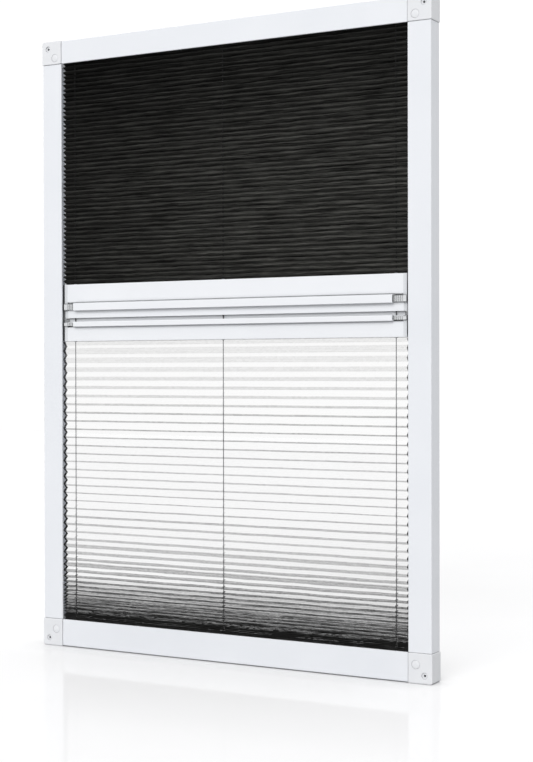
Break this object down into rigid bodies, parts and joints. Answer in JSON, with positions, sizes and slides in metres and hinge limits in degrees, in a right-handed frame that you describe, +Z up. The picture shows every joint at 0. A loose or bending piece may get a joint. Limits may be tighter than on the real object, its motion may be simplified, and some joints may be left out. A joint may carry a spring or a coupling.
{
  "type": "skylight window blind",
  "caption": "Framed roof window blind: pleated blackout cloth above, pleated insect screen below, and grip rails between them that slide along tension cords in white profiles.",
  "frame": {"origin": "middle of the bottom profile's back face, on the plane that is screwed against the window", "axes": "+X to the right seen from the room, +Y out of the back towards the window, +Z up along the side profiles"},
  "size_m": [0.7024, 0.032, 1.0023],
  "materials": {
    "coated_aluminium": "extruded section with a satin white powder coat",
    "white_plastic": "fine textured moulding",
    "grey_plastic": "extruded, dull",
    "blackout_cloth": "tight black polyester with pressed pleats",
    "screen_mesh": "fine grey polyester mesh with pressed pleats",
    "cord": "braided polyester",
    "spring_steel": "bright drawn wire"
  },
  "bodies": {
    "frame": {"top_profile": "coated_aluminium", "bottom_profile": "coated_aluminium", "left_profile": "coated_aluminium", "right_profile": "coated_aluminium", "corner_block_top_left": "white_plastic", "corner_block_top_right": "white_plastic", "corner_block_bottom_left": "white_plastic", "corner_block_bottom_right": "white_plastic", "cover_cap_top_left": "white_plastic", "cover_cap_top_right": "white_plastic", "cover_cap_bottom_left": "white_plastic", "cover_cap_bottom_right": "white_plastic", "header_carrier": "white_plastic", "sill_carrier": "white_plastic", "header_clamp": "grey_plastic", "sill_clamp": "grey_plastic", "tension_cord_left": "cord", "tension_cord_middle": "cord", "tension_cord_right": "cord", "cord_clip_top_left": "white_plastic", "cord_clip_top_middle": "white_plastic", "cord_clip_top_right": "white_plastic", "cord_clip_bottom_left": "white_plastic", "cord_clip_bottom_middle": "white_plastic", "cord_clip_bottom_right": "white_plastic", "tension_spring_left": "spring_steel", "tension_spring_middle": "spring_steel", "tension_spring_right": "spring_steel", "blackout_cloth": "blackout_cloth", "insect_screen": "screen_mesh"},
    "upper_slider": {"upper_rail": "coated_aluminium", "upper_rail_clamp": "grey_plastic", "upper_end_cap_left": "white_plastic", "upper_end_cap_right": "white_plastic", "upper_eyelet_left": "grey_plastic", "upper_eyelet_middle": "grey_plastic", "upper_eyelet_right": "grey_plastic"},
    "lower_slider": {"lower_rail": "coated_aluminium", "lower_rail_clamp": "grey_plastic", "lower_end_cap_left": "white_plastic", "lower_end_cap_right": "white_plastic", "lower_eyelet_left": "grey_plastic", "lower_eyelet_middle": "grey_plastic", "lower_eyelet_right": "grey_plastic"}
  },
  "joints": [
    {"name": "upper_rail_slide", "type": "slide", "parent": "frame", "child": "upper_slider", "axis": [0, 0, 1], "range_m": [0, 0.343], "deforming": ["blackout_cloth"]},
    {"name": "lower_rail_slide", "type": "slide", "parent": "frame", "child": "lower_slider", "axis": [0, 0, 1], "range_m": [-0.44, 0], "deforming": ["insect_screen"]}
  ]
}
